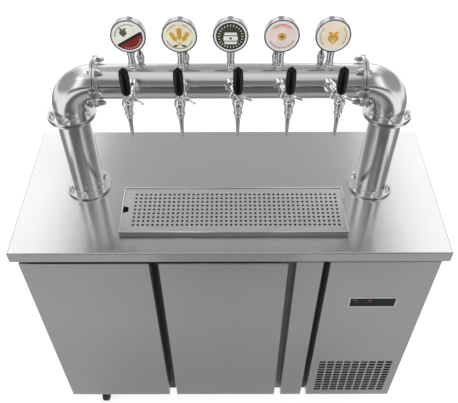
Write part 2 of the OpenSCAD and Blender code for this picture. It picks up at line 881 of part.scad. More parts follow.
module tap_nozzles() color("silver") at_taps() translate([0, 0, tap_end_z - nozzle_len]) difference() {
    cylinder(r1 = nozzle_tip_r, r2 = nozzle_top_r, h = nozzle_len);
    translate([0, 0, -cut]) cylinder(r = nozzle_tip_r - nozzle_wall, h = nozzle_len + 2 * cut);
}

module tap_lever(k) color("silver") at_tap(k) {
    translate([0, 0, ball_z]) sphere(ball_r);
    translate([0, 0, ball_z]) cylinder(d = stem_d, h = grip_z - ball_z + grip_socket);
    translate([0, 0, grip_z - ferrule_h]) cylinder(r = ferrule_r, h = ferrule_h);
}

// Radius of the grip at a share of its length, swelling towards the top
function grip_r(t) = grip_d / 2 * (grip_foot + (1 - grip_foot) * sin(t * grip_turn));

module tap_grip(k) color("black") at_tap(k) translate([0, 0, grip_z]) difference() {
    side_h = grip_len - grip_dome - grip_edge;
    nub_z = grip_len + nub_h;
    rotate_extrude() polygon(concat(
        [[0, 0], [grip_r(0) - grip_edge, 0]],
        [for (i = [0:grip_steps]) [grip_r(i / grip_steps), grip_edge + i / grip_steps * side_h]],
        [for (a = [20:20:60]) [grip_r(1) * cos(a), grip_len + grip_dome * (sin(a) - 1)]],
        [[nub_r, grip_len], [nub_r, nub_z - nub_edge], [nub_r - nub_edge, nub_z], [0, nub_z]]
    ));
    translate([0, 0, -cut]) cylinder(r = stem_d / 2 + run_fit, h = grip_socket + cut + run_gap);
}

module compensator(k) color("silver") at_tap(k) translate([0, boss_y, 0]) {
    stem_x = boss_x - comp_stem_l;
    hub_x = boss_x + run_gap;
    arm_x = hub_x + comp_hub_w / 2;
    translate([stem_x, 0, 0]) rotate([0, 90, 0]) cylinder(r = comp_stem_r, h = arm_x - stem_x);
    translate([hub_x, 0, 0]) rotate([0, 90, 0]) cylinder(r = comp_hub_r, h = comp_hub_w);
    translate([arm_x, 0, 0]) rotate([0, 90 + comp_droop, -comp_forward]) {
        cylinder(r1 = comp_stem_r, r2 = comp_arm_r, h = comp_arm);
        translate([0, 0, comp_arm]) sphere(comp_knob_r);
    }
}

// Stand a piece, drawn face up round Z, at a medallion's centre
module at_medal(k) {
    translate([tap_x(k), tower_y + medal_back, medal_z]) rotate([90 - medal_tilt, 0, 0]) children();
}

module medallion_stands() color("gainsboro") for (k = TAPS) difference() {
    post_z = bridge_z + pipe_r - post_sink;
    post_h = medal_z - medal_d / 2 + post_sink - post_z;
    union() {
        translate([tap_x(k), tower_y, post_z]) rotate_extrude() post_outline(post_h);
        translate([gland_x(k), tower_y + gland_back, bridge_z]) gland();
    }
    on_bridge() cylinder(r = pipe_r + saddle_gap, h = top_w, center = true);
    at_medal(k) cylinder(r = medal_d / 2 + saddle_gap, h = 2 * medal_t, center = true);
}

// Half section of a medallion's post
module post_outline(h) {
    foot_z = post_sink + post_foot_h;
    neck_z = foot_z + post_foot_edge;
    head_z = h - 1.8 * post_sink;
    polygon([[0, 0], [post_foot_r, 0], [post_foot_r, foot_z], [post_foot_r - post_foot_edge, neck_z],
             [post_r, neck_z + post_neck], [post_r, head_z - post_neck], [post_head_r, head_z],
             [post_head_r, h], [0, h]]);
}

module gland() {
    cylinder(r = gland_r, h = gland_top);
    translate([0, 0, gland_top - gland_nut_h - gland_cap_h]) cylinder(r = gland_nut_r, h = gland_nut_h);
}

module medallion_housings() color("silver") for (k = TAPS) at_medal(k) rotate_extrude() housing_outline();

// Half section of a medallion's shell, with the recess for its face on top
module housing_outline() {
    r = medal_d / 2;
    h = medal_t / 2;
    polygon([[0, -h], [r - housing_back, -h], [r, -h + housing_back], [r, h - housing_edge],
             [r - housing_edge, h], [r - medal_rim, h], [r - medal_rim, h - medal_recess],
             [0, h - medal_recess]]);
}

module medallion_faces() color("ivory") for (k = TAPS) at_medal(k)
    translate([0, 0, medal_t / 2 - medal_recess])
        cylinder(r = medal_d / 2 - medal_rim - face_gap, h = face_t);

// Lamp leads, from the glands up and forward into the backs of the medallions
module medallion_leads() color("black") for (k = TAPS) {
    lead_y = tower_y + gland_back;
    lead_z = medal_z - lead_drop;
    start_z = bridge_z + gland_top;
    plane_y = tower_y + medal_back + medal_t / 2 / cos(medal_tilt);
    back_y = plane_y - (lead_drop - lead_d / 2) * tan(medal_tilt) + saddle_gap;
    turn_y = lead_y - lead_bend;
    turn_z = lead_z - lead_bend;
    translate([gland_x(k), turn_y, turn_z]) rotate([90, 0, 90])
        bent_bar(lead_d / 2, lead_bend, turn_z - start_z, turn_y - back_y, $fn = 32);
}

module at_castor(k) {
    translate(castor_pos(k)) rotate(castor_turn(k)) children();
}

module castor_plates() color("silver") for (k = CASTORS) translate(castor_pos(k)) {
    translate([-plate_l / 2, -plate_w / 2, base_h - plate_t]) cube([plate_l, plate_w, plate_t]);
    translate([0, 0, race_z]) cylinder(r = race_r, h = race_h);
    translate([0, 0, king_head_z]) cylinder(r = king_r, h = race_z - king_head_z);
    translate([0, 0, king_head_z]) cylinder(r = king_head_r, h = king_head_h);
}

module castor_fork(k) color("silver") at_castor(k) {
    difference() {
        translate([0, 0, fork_z]) cylinder(r = fork_r, h = fork_top_h);
        translate([0, 0, fork_z - cut]) cylinder(r = king_r + run_fit, h = fork_top_h + 2 * cut);
    }
    for (x = [-leg_x - fork_leg_t, leg_x]) translate([x, 0, 0]) fork_leg();
    axle_half = leg_x + fork_leg_t;
    translate([0, castor_trail, axle_z]) rotate([0, 90, 0]) {
        cylinder(r = axle_r, h = 2 * axle_half, center = true);
        for (z = [-axle_half - axle_head_h, axle_half])
            translate([0, 0, z]) cylinder(r = axle_head_r, h = axle_head_h, $fn = 6);
    }
}

// One cheek of the fork, from the swivel plate down to the axle
module fork_leg() {
    top_z = fork_z + fork_top_h / 2;
    rotate([90, 0, 90]) linear_extrude(fork_leg_t) {
        polygon([[-fork_top_half, top_z], [fork_top_half, top_z],
                 [castor_trail + axle_boss_r, axle_z], [castor_trail - axle_boss_r, axle_z]]);
        translate([castor_trail, axle_z]) circle(axle_boss_r);
    }
}

module castor_wheel(k) color("dimgray") at_castor(k)
    translate([0, castor_trail, axle_z]) rotate([0, 90, 0]) rotate_extrude() wheel_outline();

// Half section of a wheel: a rounded tread on a thinner web with a hub
module wheel_outline() {
    r = wheel_d / 2;
    bore = axle_r + run_fit;
    half = wheel_w / 2;
    hub_half = half + hub_proud;
    rim_r = r - tread_depth;
    translate([bore, -hub_half]) square([hub_r - bore, 2 * hub_half]);
    translate([bore, -half / 2]) square([rim_r - bore + 1, half]);
    translate([rim_r, -half]) square([r - tread_round - rim_r, wheel_w]);
    translate([rim_r, -half + tread_round]) square([r - rim_r, wheel_w - 2 * tread_round]);
    for (z = [-half + tread_round, half - tread_round]) translate([r - tread_round, z]) circle(tread_round);
}

module condenser() color("dimgray") {
    for (x = [cond_x - cond_w / 2, cond_x + cond_w / 2 - end_plate_t])
        translate([x, cond_y, bay_floor]) cube([end_plate_t, cond_t, cond_h]);
    fin_block(cond_x - cond_w / 2, cond_w, cond_y, cond_t, bay_floor, cond_h, cond_fins, cond_rows);
}

// A row of fins along X on tubes that run through them
module fin_block(x0, w, y0, d, z0, h, fins, rows) {
    fin_x = w / (fins + 1);
    tube_z = h / rows;
    for (i = [1:fins])
        translate([x0 + i * fin_x - fin_t / 2, y0 + fin_inset, z0 + fin_lift])
            cube([fin_t, d - 2 * fin_inset, h - 2 * fin_lift]);
    for (r = [0:rows - 1], y = [y0 + d / 4, y0 + 3 * d / 4])
        translate([x0, y, z0 + (r + 0.5) * tube_z]) rotate([0, 90, 0])
            cylinder(r = tube_r, h = w, $fn = 24);
}

module condenser_fan_motor() color("black") {
    motor_y = fan_y + fan_hub_h + run_gap;
    arm_y0 = motor_y + cut;
    arm_y1 = arm_y0 + arm_t;
    arm_z = cond_z + arm_w / 2;
    arm_half = (cond_w - arm_w) / 2;
    translate([cond_x, motor_y, cond_z]) rotate([-90, 0, 0]) cylinder(r = motor_r, h = motor_h);
    translate([cond_x, fan_y, cond_z]) rotate([-90, 0, 0]) cylinder(r = shaft_r, h = arm_y0 - fan_y);
    for (x = [cond_x - arm_half, cond_x + arm_half - arm_w]) {
        box([x, cond_y + cond_t, bay_floor], [x + arm_w, arm_y1, bay_floor + arm_t]);
        box([x, arm_y0, bay_floor], [x + arm_w, arm_y1, arm_z]);
    }
    box([cond_x - arm_half, arm_y0, arm_z - arm_w], [cond_x + arm_half, arm_y1, arm_z]);
}

module condenser_fan() color("dimgray") translate([cond_x, fan_y, cond_z]) rotate([-90, 0, 0]) difference() {
    union() {
        cylinder(r = fan_hub_r, h = fan_hub_h);
        intersection() {
            translate([0, 0, cut]) cylinder(d = fan_d, h = fan_hub_h - 2 * cut);
            for (i = [0:fan_blades - 1]) rotate(i * 360 / fan_blades)
                translate([0, 0, fan_hub_h / 2]) rotate([blade_pitch, 0, 0])
                    translate([0, -blade_w / 2, -blade_t / 2]) cube([fan_d, blade_w, blade_t]);
        }
    }
    translate([0, 0, -cut]) cylinder(r = shaft_r + run_fit, h = fan_hub_h + 2 * cut);
}

module compressor() color("black") translate([(bay_x0 + case_x) / 2, case_y1 - shell_back, bay_floor]) {
    r = shell_d / 2;
    dome_sphere = (pow(r, 2) + pow(shell_dome, 2)) / 2 / shell_dome;
    foot_x = r + foot_r;
    foot_y = r - foot_r;
    plate_x = foot_x + foot_r;
    plate_y = foot_y + foot_r;
    translate([0, 0, foot_h]) rotate_extrude() intersection() {
        square([r, shell_h + shell_dome]);
        union() {
            square([r, shell_h]);
            translate([0, shell_h + shell_dome - dome_sphere]) circle(dome_sphere);
        }
    }
    box([-plate_x, -plate_y, foot_h - foot_plate_t], [plate_x, plate_y, foot_h + cut]);
    for (x = [-foot_x, foot_x], y = [-foot_y, foot_y]) translate([x, y, 0]) cylinder(r = foot_r, h = foot_h);
    box([-terminal_w / 2, -r - terminal_t, foot_h + terminal_z],
        [terminal_w / 2, -r / 2, foot_h + 2 * terminal_z]);
}

// Finned coil in its sheet cover, hung on the partition under the chamber's ceiling
module evaporator() color("lightgray") {
    x0 = chamber_x1 - evap_w;
    y0 = (case_y0 + chamber_y1 - evap_d) / 2;
    z0 = chamber_z1 - evap_drop - evap_h;
    box([x0, y0, z0], [chamber_x1, y0 + evap_cover_t, z0 + evap_h]);
    box([x0, y0 + evap_d - evap_cover_t, z0], [chamber_x1, y0 + evap_d, z0 + evap_h]);
    box([x0, y0, z0], [x0 + evap_cover_t, y0 + evap_d, z0 + evap_h]);
    translate([chamber_x1, 0, 0]) rotate(90)
        fin_block(y0, evap_d, 0, evap_w, z0, evap_h, evap_fins, cond_rows);
}

cabinet_case();
chamber_liner();
front_frame();
worktop();
pilaster();
service_panel();
controller();
compressor();
condenser();
condenser_fan_motor();
condenser_fan();
evaporator();
door_skin(left_door_x, left_pin_x);  // door_left_skin
door_liner(left_door_x, left_pin_x);  // door_left_liner
door_gasket(left_door_x);  // door_left_gasket
door_skin(right_door_x, right_pin_x);  // door_right_skin
door_liner(right_door_x, right_pin_x);  // door_right_liner
door_gasket(right_door_x);  // door_right_gasket
hinge_brackets();
drip_tray();
drip_grid();
pillar(-1);  // pillar_left
pillar(1);  // pillar_right
elbow();  // elbow_left
mirror([1, 0, 0]) elbow();  // elbow_right
bridge();
flange_seals();
flange_bolts();
beer_lines();
tap_shanks();
tap_bodies();
tap_nozzles();
for (k = TAPS) tap_lever(k);
for (k = TAPS) tap_grip(k);
for (k = TAPS) compensator(k);
medallion_stands();
medallion_housings();
medallion_faces();
medallion_leads();
castor_plates();
for (k = CASTORS) castor_fork(k);
for (k = CASTORS) castor_wheel(k);
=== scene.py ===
"""Looks of a draft beer cabinet: brushed and polished steel, chrome taps, printed medallions, studio light.

Everything is in metres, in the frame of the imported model: +X right, +Y back, +Z up, the doors face -Y.
Profiles and prints are drawn in millimetres.
"""
import math

import bmesh
import bpy
from mathutils import Matrix, Vector


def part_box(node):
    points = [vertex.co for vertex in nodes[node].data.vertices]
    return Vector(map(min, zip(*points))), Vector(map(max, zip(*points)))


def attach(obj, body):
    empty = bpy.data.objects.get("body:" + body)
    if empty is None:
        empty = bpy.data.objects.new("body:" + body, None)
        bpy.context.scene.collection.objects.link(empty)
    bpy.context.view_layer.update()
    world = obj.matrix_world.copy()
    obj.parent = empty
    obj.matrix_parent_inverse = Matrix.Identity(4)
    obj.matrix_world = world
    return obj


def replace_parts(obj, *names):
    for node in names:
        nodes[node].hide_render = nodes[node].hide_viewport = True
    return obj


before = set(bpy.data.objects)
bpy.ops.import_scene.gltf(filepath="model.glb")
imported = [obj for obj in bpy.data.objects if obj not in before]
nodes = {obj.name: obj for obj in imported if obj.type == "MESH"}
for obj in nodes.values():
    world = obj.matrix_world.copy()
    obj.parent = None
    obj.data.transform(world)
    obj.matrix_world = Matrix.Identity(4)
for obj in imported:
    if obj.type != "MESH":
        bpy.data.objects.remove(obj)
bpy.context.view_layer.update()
scene = bpy.context.scene

MM = 0.001

# Sizes that the pieces share with the model
TAPS = range(5)
MIDDLE_TAP = 2
TAP_PITCH = 0.121
TAP_SHIFT = 0.004
GRIP_OVER_TAP = 0.022
GLAND_PITCH = 0.112
GLAND_BACK = 0.026
MEDAL_Y = 0.013
MEDAL_Z = 1.483
MEDAL_TILT = math.radians(4)
MEDAL_SEAT = 0.0085
MEDAL_FACE_R = 0.0388
MEDAL_FACE_T = 0.0016
PIPE_R = 0.04445
FLANGE_T = 0.006
TRAY_RIM = 0.003

# The photograph's camera
IMAGE_W = 458
FOCAL_PX = 608.9
CAMERA_AT = (0.0029, -1.2583, 2.2698)
CAMERA_PITCH = math.radians(47.1)
CAMERA_ROLL = math.radians(0.2)
SENSOR_MM = 36


def rgb(r, g, b):
    return (r, g, b, 1)


def grey(tone):
    return rgb(tone, tone, tone)


def shaded(color, factor):
    return tuple(min(c * factor, 1) for c in color[:3]) + (1,)


# Helpers for shader nodes

# The range in which nearly all of a noise field lies
NOISE_LOW = 0.3
NOISE_HIGH = 0.7
# Sockets of a Mix node for colours
MIX_FACTOR = 0
MIX_FIRST = 6
MIX_SECOND = 7
MIX_RESULT = 2


def new_material(name, **sockets):
    """A material with one Principled shader whose constant sockets are set by name."""
    material = bpy.data.materials.new(name)
    material.use_nodes = True
    tree = material.node_tree
    surface = tree.nodes["Principled BSDF"]
    for socket, value in sockets.items():
        surface.inputs[socket.replace("_", " ")].default_value = value
    return material, tree, surface


def field(tree, scale, stretch=(1, 1, 1), detail=3):
    """Noise over the object's own metres; scale is in waves per metre."""
    place = tree.nodes.new("ShaderNodeTexCoord")
    mapping = tree.nodes.new("ShaderNodeMapping")
    noise = tree.nodes.new("ShaderNodeTexNoise")
    mapping.inputs["Scale"].default_value = stretch
    noise.inputs["Scale"].default_value = scale
    noise.inputs["Detail"].default_value = detail
    tree.links.new(place.outputs["Object"], mapping.inputs["Vector"])
    tree.links.new(mapping.outputs["Vector"], noise.inputs["Vector"])
    return noise.outputs["Fac"]


def parts_of(tree, source):
    """The X, Y and Z of a texture coordinate."""
    place = tree.nodes.new("ShaderNodeTexCoord")
    parts = tree.nodes.new("ShaderNodeSeparateXYZ")
    tree.links.new(place.outputs[source], parts.inputs["Vector"])
    return [parts.outputs[axis] for axis in "XYZ"]


def spread(tree, value, low, high, start=NOISE_LOW, end=NOISE_HIGH):
    """A field spread between two numbers."""
    node = tree.nodes.new("ShaderNodeMapRange")
    for socket, number in (("From Min", start), ("From Max", end), ("To Min", low), ("To Max", high)):
        node.inputs[socket].default_value = number
    tree.links.new(value, node.inputs["Value"])
    return node.outputs["Result"]


def joined(tree, operation, first, second):
    """Two fields, or a field and a number, put together by one operation."""
    node = tree.nodes.new("ShaderNodeMath")
    node.operation = operation
    tree.links.new(first, node.inputs[0])
    if isinstance(second, (int, float)):
        node.inputs[1].default_value = second
    else:
        tree.links.new(second, node.inputs[1])
    return node.outputs["Value"]


def tones(tree, value, *stops, stepped=False):
    """Colours along a field, as pairs of position and colour, blended or in steps."""
    ramp = tree.nodes.new("ShaderNodeValToRGB")
    if stepped:
        ramp.color_ramp.interpolation = "CONSTANT"
    elements = ramp.color_ramp.elements
    while len(elements) < len(stops):
        elements.new(0.5)
    for element, (position, color) in zip(elements, stops):
        element.position = position
        element.color = color
    tree.links.new(value, ramp.inputs["Fac"])
    return ramp.outputs["Color"]


def tinted(tree, noise, color, darkest, lightest):
    """One colour that noise shades between two factors."""
    return tones(tree, noise, (NOISE_LOW, shaded(color, darkest)), (NOISE_HIGH, shaded(color, lightest)))


def mixed(tree, mask, first, second):
    """Two colours, the second where the mask is one."""
    mix = tree.nodes.new("ShaderNodeMix")
    mix.data_type = "RGBA"
    tree.links.new(mask, mix.inputs[MIX_FACTOR])
    tree.links.new(first, mix.inputs[MIX_FIRST])
    if isinstance(second, tuple):
        mix.inputs[MIX_SECOND].default_value = second
    else:
        tree.links.new(second, mix.inputs[MIX_SECOND])
    return mix.outputs[MIX_RESULT]


def emboss(tree, surface, height, strength, depth):
    bump = tree.nodes.new("ShaderNodeBump")
    bump.inputs["Strength"].default_value = strength
    bump.inputs["Distance"].default_value = depth
    tree.links.new(height, bump.inputs["Height"])
    tree.links.new(bump.outputs["Normal"], surface.inputs["Normal"])


# Kinds of material

# Scales of the noise fields, in waves per metre
BRUSH_WAVES = 900
SMEAR_WAVES = 5
HAZE_WAVES = 14
POLISH_WAVES = 420
WEAR_WAVES = 30
# Scale of the patches in the painted shade low in the drip tray
PAN_SHADE_WAVES = 6
# How far a brush line or a polishing mark is drawn out along its axis
BRUSH_STRETCH = 0.012
POLISH_STRETCH = (1, 1, 0.2)
# What polishing marks add to the roughness, and the depth of the relief on metal in metres
POLISH_SCRATCH = 0.02
METAL_RELIEF = 0.0002

GRAINS = {"X": (BRUSH_STRETCH, 1, 1), "Z": (1, 1, BRUSH_STRETCH)}


def brushed_steel(name, color, roughness, grain, aniso=0.0, tangent_axis="Y", contrast=1.0):
    """Sheet steel with fine brush lines along one axis and faint smears across them."""
    material, tree, surface = new_material(name, Metallic=1.0, Anisotropic=aniso)
    lines = field(tree, BRUSH_WAVES, GRAINS[grain], detail=4)
    smears = field(tree, SMEAR_WAVES, detail=4)
    line_rough, smear_rough = 0.03 * contrast, 0.025 * contrast
    rough = joined(tree, "ADD", spread(tree, lines, roughness - line_rough, roughness + line_rough),
                   spread(tree, smears, -smear_rough, smear_rough))
    tint = tinted(tree, lines, color, 1 - 0.04 * contrast, 1 + 0.03 * contrast)
    tree.links.new(tint, surface.inputs["Base Color"])
    tree.links.new(rough, surface.inputs["Roughness"])
    emboss(tree, surface, lines, 0.03 * contrast, METAL_RELIEF)
    if aniso:
        tangent = tree.nodes.new("ShaderNodeTangent")
        tangent.direction_type = "RADIAL"
        tangent.axis = tangent_axis
        tree.links.new(tangent.outputs["Tangent"], surface.inputs["Tangent"])
    return material


def polished_metal(name, color, roughness):
    """Bright metal with a faint haze and hairline polishing marks."""
    material, tree, surface = new_material(name, Metallic=1.0)
    haze = field(tree, HAZE_WAVES, detail=5)
    marks = field(tree, POLISH_WAVES, POLISH_STRETCH, detail=3)
    rough = joined(tree, "ADD", spread(tree, haze, roughness - 0.02, roughness + 0.03),
                   spread(tree, marks, 0, POLISH_SCRATCH))
    tree.links.new(tinted(tree, haze, color, 0.96, 1.03), surface.inputs["Base Color"])
    tree.links.new(rough, surface.inputs["Roughness"])
    emboss(tree, surface, marks, 0.02, METAL_RELIEF)
    return material


def moulded(name, color, roughness, grain=700, depth=0.0001, **sockets):
    """Plastic, rubber or enamel with a fine moulded grain and a little wear in its gloss."""
    material, tree, surface = new_material(name, **sockets)
    pores = field(tree, grain, detail=2)
    wear = field(tree, WEAR_WAVES, detail=5)
    tree.links.new(tinted(tree, wear, color, 0.9, 1.12), surface.inputs["Base Color"])
    tree.links.new(spread(tree, wear, roughness * 0.85, roughness * 1.2), surface.inputs["Roughness"])
    emboss(tree, surface, pores, 0.25, depth)
    return material


# Height of the top of the painted shade low in the drip tray, and how metallic the painted shade leaves the
# steel
PAN_SHADE_TOP = 0.987
PAN_SHADE_METAL = 0.2


def paint_pan_shade(material):
    """Paint shade on the upward faces low in the drip tray: a near-black, less metallic tone where little
    light reaches through the grid.
    """
    tree = material.node_tree
    surface = tree.nodes["Principled BSDF"]
    low = joined(tree, "LESS_THAN", parts_of(tree, "Object")[2], PAN_SHADE_TOP)
    up = joined(tree, "GREATER_THAN", parts_of(tree, "Normal")[2], 0.5)
    shade_mask = joined(tree, "MULTIPLY", low, up)
    shade_patches = field(tree, PAN_SHADE_WAVES, detail=2)
    # Painted shade: near-black patches on the pan's floor
    painted_shade = tones(tree, shade_patches, (0.38, grey(0.004)), (0.62, rgb(0.030, 0.030, 0.031)))
    steel = surface.inputs["Base Color"].links[0].from_socket
    tree.links.new(mixed(tree, shade_mask, steel, painted_shade), surface.inputs["Base Color"])
    tree.links.new(spread(tree, shade_mask, 1, PAN_SHADE_METAL, 0, 1), surface.inputs["Metallic"])


# Height of the foot of the black strip of painted shadow under the worktop, and half the width of the front
# frame's ramp
SHADOW_STRIP_FOOT = 0.908
FRAME_HALF = 0.6
# How far behind the edge of a door or panel the tone of the next gap starts
GAP_LEAD = 0.02


def paint_frame_light_and_shade(material):
    """Painted light and shade across the front frame: a lit or shaded tone in each gap, and a black strip of
    painted shadow at its head.
    """
    left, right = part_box("door_left_skin"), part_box("door_right_skin")
    post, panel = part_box("pilaster"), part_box("service_panel")
    # The gaps' tones are painted light and shade: black where a gap lies in deep shadow, dark grey on shaded
    # faces, pale grey where lit steel shows
    black, dark, pale = grey(0.010), grey(0.10), grey(0.26)
    gaps = [(-FRAME_HALF, black), ((left[1].x + right[0].x) / 2, dark), (right[1].x - GAP_LEAD, pale),
            (post[1].x - GAP_LEAD, dark), ((post[1].x + panel[0].x) / 2, black)]
    stops = [((x + FRAME_HALF) / (2 * FRAME_HALF), color) for x, color in gaps]
    tree = material.node_tree
    surface = tree.nodes["Principled BSDF"]
    x, _, z = parts_of(tree, "Object")
    shades = tones(tree, spread(tree, x, 0, 1, -FRAME_HALF, FRAME_HALF), *stops, stepped=True)
    # Painted shadow: black over the frame's head, under the worktop
    strip = joined(tree, "GREATER_THAN", z, SHADOW_STRIP_FOOT)
    tree.links.new(mixed(tree, strip, shades, grey(0.004)), surface.inputs["Base Color"])


# Materials by their part of the cabinet

STEEL = rgb(0.612, 0.617, 0.63)
DOOR_STEEL = rgb(0.612, 0.619, 0.63)
PIPE_STEEL = rgb(0.63, 0.632, 0.64)
CHROME = rgb(0.72, 0.73, 0.75)

materials = {
    "worktop": brushed_steel("worktop_steel", STEEL, 0.18, "X", 0.72, "X", contrast=0.7),
    "front": brushed_steel("front_steel", DOOR_STEEL, 0.36, "Z", contrast=1.2),
    "tray": brushed_steel("tray_steel", rgb(0.36, 0.362, 0.37), 0.30, "X"),
    "grid": brushed_steel("grid_steel", rgb(0.67, 0.675, 0.685), 0.22, "X"),
    "case": brushed_steel("case_steel", rgb(0.50, 0.50, 0.50), 0.38, "Z"),
    "pipe": polished_metal("pipe_steel", PIPE_STEEL, 0.18),
    "bolt": polished_metal("bolt_steel", rgb(0.78, 0.77, 0.75), 0.14),
    "chrome": polished_metal("tap_chrome", CHROME, 0.05),
    "housing": polished_metal("housing_chrome", rgb(0.46, 0.46, 0.47), 0.16),
    "nozzle": brushed_steel("nozzle_steel", rgb(0.52, 0.53, 0.54), 0.24, "Z"),
    "zinc": brushed_steel("castor_zinc", rgb(0.60, 0.61, 0.63), 0.34, "X"),
    "grip": moulded("grip_black", rgb(0.003, 0.0032, 0.0055), 0.16, depth=0.00003, Specular_IOR_Level=0.16),
    "liner": moulded("liner_white", rgb(0.80, 0.81, 0.80), 0.42, grain=350, depth=0.0002),
    "frame": moulded("frame_grey", rgb(0.085, 0.087, 0.09), 0.50),
    "rubber": moulded("seal_rubber", rgb(0.022, 0.022, 0.022), 0.62, grain=500, depth=0.0002),
    "lead": moulded("lead_black", rgb(0.014, 0.014, 0.014), 0.50),
    "hose": moulded("line_milky", rgb(0.74, 0.72, 0.64), 0.30, Subsurface_Weight=0.2),
    "bezel": moulded("controller_bezel", rgb(0.78, 0.78, 0.79), 0.35),
    "wheel": moulded("wheel_black", rgb(0.020, 0.020, 0.021), 0.55, grain=400, depth=0.0003),
    "enamel": moulded("unit_black", rgb(0.018, 0.018, 0.019), 0.32, grain=250, depth=0.0002),
    "fins": brushed_steel("fin_aluminium", rgb(0.68, 0.69, 0.70), 0.30, "Z"),
    "fan": moulded("fan_black", rgb(0.030, 0.030, 0.032), 0.45),
    "weld": polished_metal("weld_steel", rgb(0.62, 0.59, 0.55), 0.26),
    "glass": moulded("window_glass", rgb(0.008, 0.008, 0.010), 0.12, depth=0.00001, Specular_IOR_Level=0.2),
    "lit": moulded("sign_red", rgb(0.25, 0.035, 0.045), 0.4, Emission_Color=rgb(0.85, 0.16, 0.19),
                   Emission_Strength=0.16),
}
# Painted shade low in the drip tray
paint_pan_shade(materials["tray"])
# Painted light and shade in the gaps of the front frame
paint_frame_light_and_shade(materials["frame"])

# Nodes that keep their CAD shape, by material
DRESS = {
    "worktop": ["worktop"],
    "front": ["door_left_skin", "door_right_skin", "pilaster", "service_panel"],
    "tray": ["drip_tray"],
    "grid": ["drip_grid"],
    "case": ["cabinet_case", "hinge_brackets"],
    "pipe": ["pillar_left", "pillar_right", "elbow_left", "elbow_right", "bridge"],
    "bolt": ["flange_bolts"],
    "chrome": ["tap_shanks", "tap_bodies", "medallion_stands"]
              + [f"{part}_{k + 1}" for part in ("tap_lever", "compensator") for k in TAPS],
    "housing": ["medallion_housings"],
    "zinc": ["castor_plates"] + [f"castor_fork_{k}" for k in range(1, 5)],
    "liner": ["chamber_liner", "door_left_liner", "door_right_liner"],
    "frame": ["front_frame"],
    "rubber": ["flange_seals"],
    "lead": ["medallion_leads"],
    "hose": ["beer_lines"],
    "bezel": ["controller"],
    "wheel": [f"castor_wheel_{k}" for k in range(1, 5)],
    "enamel": ["compressor", "condenser_fan_motor"],
    "fins": ["condenser", "evaporator"],
    "fan": ["condenser_fan"],
}

for material_name, members in DRESS.items():
    for member in members:
        slots = nodes[member].data.materials
        slots.clear()
        slots.append(materials[material_name])


# Helpers for pieces

def new_piece(name, mesh, body, slot, *finishes, place=Matrix.Identity(4), sharp=None):
    """A piece made of a mesh, put in its place, that rides on a body of the frame."""
    bmesh.ops.recalc_face_normals(mesh, faces=mesh.faces)
    data = bpy.data.meshes.new(name)
    mesh.to_mesh(data)
    mesh.free()
    data.transform(place)
    if sharp:
        data.set_sharp_from_angle(angle=sharp)
    for finish in finishes:
        data.materials.append(finish)
    piece = bpy.data.objects.new(name, data)
    scene.collection.objects.link(piece)
    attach(piece, body)
    return piece


def round_point(r, angle):
    return (r * math.cos(angle), r * math.sin(angle))


def middle_of(box):
    low, high = box
    return (low + high) / 2


def tap_x(k, pitch=TAP_PITCH):
    return TAP_SHIFT + (k - MIDDLE_TAP) * pitch


# Shapes for the printed medallion faces, as lists of plane points

def turned(points, angle, centre=(0, 0)):
    """Plane points turned about the origin and then moved to a centre."""
    c, s = math.cos(angle), math.sin(angle)
    return [(centre[0] + c * u - s * v, centre[1] + s * u + c * v) for u, v in points]


def disc(r, centre=(0, 0), count=72):
    return turned([round_point(r, 2 * math.pi * i / count) for i in range(count)], 0, centre)


def leaf(length, width, angle, centre=(0, 0), count=10):
    """A pointed leaf that starts at a centre and points along an angle in degrees."""
    side = [(length * i / count, width / 2 * math.sin(math.pi * i / count)) for i in range(count + 1)]
    return turned(side + [(u, -v) for u, v in reversed(side[1:-1])], math.radians(angle), centre)


def bar(length, width, angle, centre=(0, 0)):
    """A straight bar that starts at a centre and points along an angle in degrees."""
    half = width / 2
    return turned([(0, -half), (length, -half), (length, half), (0, half)], math.radians(angle), centre)


def band(inner, outer, start, end, count=32):
    """A stretch of a ring, between two angles in degrees."""
    angles = [math.radians(start + (end - start) * i / count) for i in range(count + 1)]
    return [round_point(outer, a) for a in angles] + [round_point(inner, a) for a in reversed(angles)]


def cap(r, angle, cut, count=40):
    """The part of a disc beyond a chord at a distance from its centre, towards an angle in degrees."""
    half = math.acos(cut / r)
    arc = [-half + 2 * half * i / count for i in range(count + 1)]
    return turned([round_point(r, a) for a in arc], math.radians(angle))


def ear(centre, height, angle):
    """A ripe ear of barley: a stalk with pairs of grains and one at the tip."""
    shapes = [bar(height * 0.62, height * 0.035, angle, centre)]
    along = math.radians(angle)
    for i in range(5):
        root = turned([(height * (0.30 + 0.11 * i), 0)], along, centre)[0]
        shapes += [leaf(height * 0.24, height * 0.10, angle + side * 32, root) for side in (-1, 1)]
    tip = turned([(height * 0.76, 0)], along, centre)[0]
    return shapes + [leaf(height * 0.26, height * 0.10, angle, tip)]


def hop(size):
    """A hop cone of hanging petals in rows that narrow towards its tip, under two leaves."""
    shapes = [leaf(size * 0.42, size * 0.22, angle, (0, size * 0.30)) for angle in (25, 155)]
    for row, count in enumerate((1, 2, 3, 3, 2)):
        v = size * (0.12 * row - 0.10)
        for i in range(count):
            aside = i - (count - 1) / 2
            shapes.append(leaf(size * 0.36, size * 0.24, -90 + 10 * aside, (aside * size * 0.21, v)))
    return shapes


def keg(width, height, centre=(0, 0), count=12):
    """The outline of a bellied barrel."""
    half = height / 2
    side = [(width * (0.40 + 0.10 * math.cos(math.pi / 2 * t)), half * t)
            for t in (2 * i / count - 1 for i in range(count + 1))]
    return turned(side + [(-u, v) for u, v in reversed(side)], 0, centre)


def along_arc(start, end, count):
    """Evenly spaced angles in degrees."""
    return [start + (end - start) * i / (count - 1) for i in range(count)]


def beads(r, size, start, end, count):
    """A row of dots along an arc, between two angles in degrees."""
    return [disc(size, round_point(r, math.radians(a)), 14) for a in along_arc(start, end, count)]


